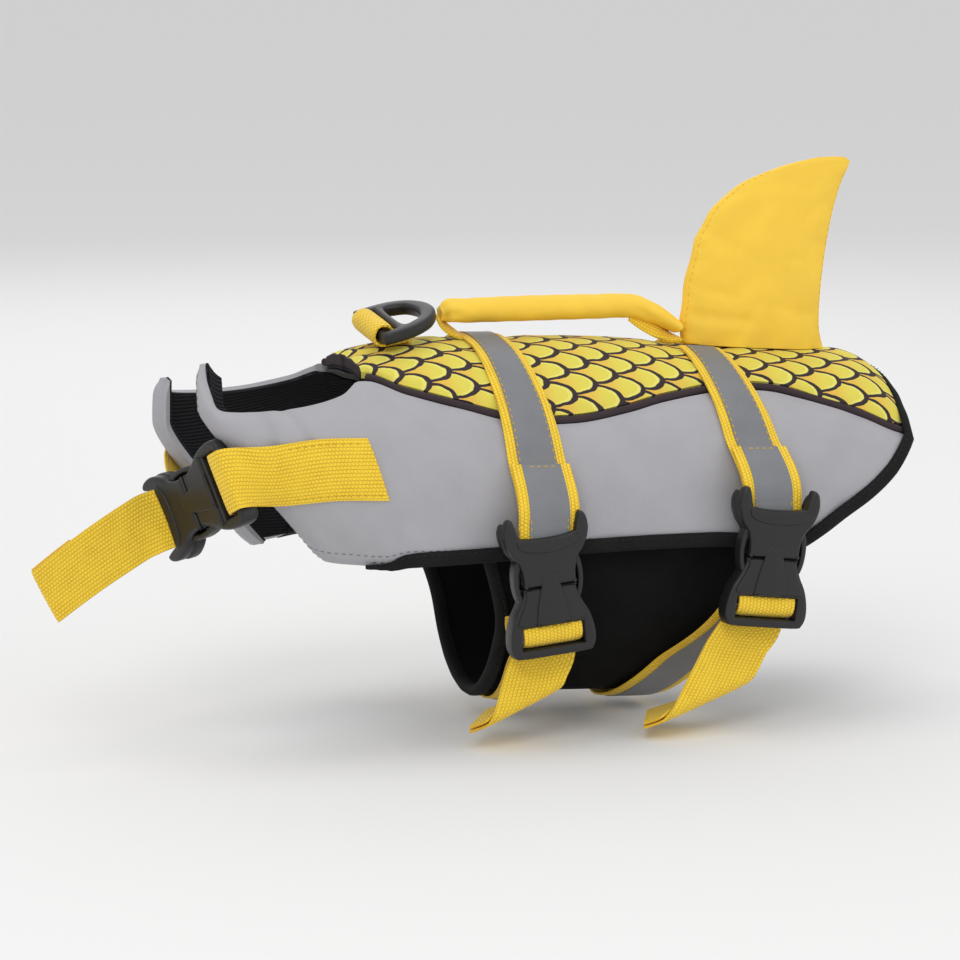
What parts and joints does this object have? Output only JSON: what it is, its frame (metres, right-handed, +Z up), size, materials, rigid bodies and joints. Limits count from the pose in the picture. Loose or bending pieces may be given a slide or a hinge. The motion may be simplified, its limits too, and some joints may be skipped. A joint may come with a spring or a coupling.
{
  "type": "dog life jacket",
  "caption": "Hollow worn dog life jacket: foam side panels, printed back panel, padded fin, grab handle, lead ring, belly band and webbing straps with side release buckles.",
  "frame": {"origin": "on the underside of the lining in the middle of the back, where the wearer's back carries the jacket", "axes": "+X towards the wearer's tail, -X towards the neck, +Y to the wearer's right, +Z up"},
  "size_m": [0.3699, 0.1421, 0.2226],
  "materials": {
    "panel": "matt grey woven cover",
    "print": "matt printed woven cover, scale pattern in yellow with dark outlines",
    "lining": "matt dark ribbed lining",
    "binding": "matt black folded tape",
    "band": "matt black cloth",
    "webbing": "ribbed woven webbing",
    "tape": "satin grey reflective tape",
    "padding_cover": "smooth padded cover",
    "plastic": "moulded, satin"
  },
  "bodies": {
    "jacket": {"side_panel_near": "panel", "side_panel_far": "panel", "back_panel": "print", "lining_near": "lining", "lining_far": "lining", "lining_back": "lining", "piping_near": "binding", "piping_far": "binding", "edge_binding": "binding", "belly_band": "band", "belly_binding_front": "binding", "belly_binding_rear": "binding", "strap_1": "webbing", "tape_1": "tape", "strap_2_near": "webbing", "tape_2_near": "tape", "strap_2_far": "webbing", "tape_2_far": "tape", "belly_strap_1": "webbing", "belly_tape_1": "tape", "belly_strap_2": "webbing", "belly_tape_2": "tape", "fin": "padding_cover", "handle": "padding_cover", "handle_leg_front": "webbing", "handle_leg_rear": "webbing", "ring_loop": "webbing", "buckle_socket_1": "plastic", "buckle_plug_1": "plastic", "buckle_socket_2": "plastic", "buckle_plug_2": "plastic", "buckle_socket_front": "plastic", "buckle_plug_front": "plastic", "strap_tail_1": "webbing", "strap_tail_2": "webbing", "strap_tail_front": "webbing", "chest_strap_near": "webbing", "chest_strap_far": "webbing"},
    "d_ring": {"d_ring": "plastic"}
  },
  "joints": [
    {"name": "d_ring_swing", "type": "hinge", "parent": "jacket", "child": "d_ring", "pos_m": [-0.0461, 0, 0.012], "axis": [0.042, -0.9848, -0.1685], "range_deg": [0, 60]}
  ]
}
